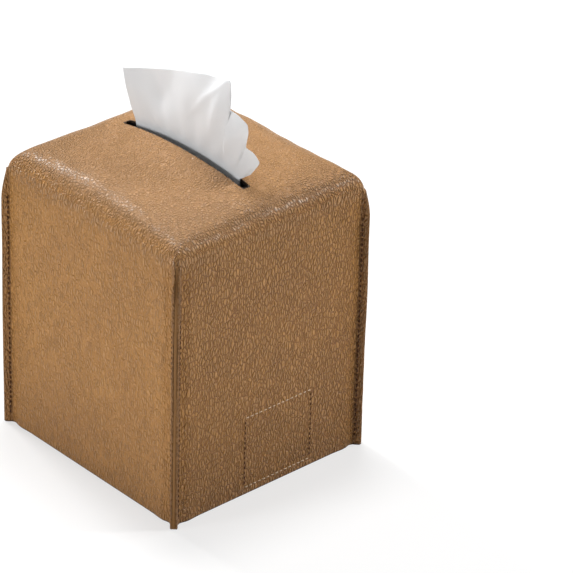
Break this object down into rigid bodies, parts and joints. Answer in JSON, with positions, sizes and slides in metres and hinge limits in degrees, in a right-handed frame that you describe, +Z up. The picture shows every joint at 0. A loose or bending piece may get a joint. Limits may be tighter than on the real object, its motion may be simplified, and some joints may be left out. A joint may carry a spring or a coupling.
{
  "type": "leather tissue box cover",
  "caption": "Open-bottomed square leather cover with a crowned, slotted top, pinched corner seams and a hook-and-loop belt underneath that holds a cube carton of tissues.",
  "frame": {"origin": "middle of the bottom rim, in the plane that the cover stands on", "axes": "+Z up; X along the tissue slot and along the belt, with the belt sewn to the -X wall and hooked to the +X wall; the front wall faces -Y"},
  "size_m": [0.1334, 0.1254, 0.2045],
  "materials": {
    "skin_leather": "pebbled, satin",
    "filler_leather": "raw edge, matte",
    "belt_leather": "fine-grained, satin",
    "belt_backing_leather": "suede side, matte",
    "top_padding": "soft foam, matte",
    "lining": "brown cloth, matte",
    "stiffening_board": "grey board, matte",
    "dark_thread": "waxed thread, matte",
    "hook_tape": "moulded nylon hooks, matte",
    "loop_tape": "brushed nylon loops, matte",
    "carton_board": "white coated board, satin",
    "carton_film": "thin clear film, smooth",
    "tissue_paper": "soft tissue, matte"
  },
  "bodies": {
    "cover": {"outer_skin": "skin_leather", "top_pad": "top_padding", "top_lining": "lining", "board_front": "stiffening_board", "lining_front": "lining", "board_back": "stiffening_board", "lining_back": "lining", "board_left": "stiffening_board", "lining_left": "lining", "board_right": "stiffening_board", "lining_right": "lining", "seam_filler_front_left": "filler_leather", "seam_thread_front_left": "dark_thread", "seam_filler_front_right": "filler_leather", "seam_thread_front_right": "dark_thread", "seam_filler_back_right": "filler_leather", "seam_thread_back_right": "dark_thread", "seam_filler_back_left": "filler_leather", "seam_thread_back_left": "dark_thread", "loop_patch": "loop_tape", "loop_patch_thread": "dark_thread", "belt_root_leather": "belt_leather", "belt_root_backing": "belt_backing_leather", "belt_root_thread": "dark_thread", "carton_sleeve": "carton_board", "carton_top_panel": "carton_board", "carton_bottom_flap": "carton_board", "carton_inner_flaps": "carton_board", "carton_film": "carton_film", "tissue_stack": "tissue_paper"},
    "belt": {"strap_leather": "belt_leather", "strap_backing": "belt_backing_leather"},
    "belt_tab": {"tab_leather": "belt_leather", "tab_backing": "belt_backing_leather", "hook_patch": "hook_tape", "hook_patch_thread": "dark_thread"},
    "tissue": {"drawn_tissue": "tissue_paper"}
  },
  "joints": [
    {"name": "belt_swing", "type": "hinge", "parent": "cover", "child": "belt", "pos_m": [-0.05903, 0, 0.0021], "axis": [0, 1, 0], "range_deg": [0, 90]},
    {"name": "belt_tab_fold", "type": "hinge", "parent": "belt", "child": "belt_tab", "pos_m": [0.05638, 0, 0.0021], "axis": [0, 1, 0], "range_deg": [-54, 0]},
    {"name": "tissue_pull", "type": "slide", "parent": "cover", "child": "tissue", "axis": [0, 0, 1], "range_m": [0, 0.045]}
  ],
  "couplings": [
    {"joint": "belt_tab_fold", "follows": "belt_swing", "ratio": -0.6}
  ]
}
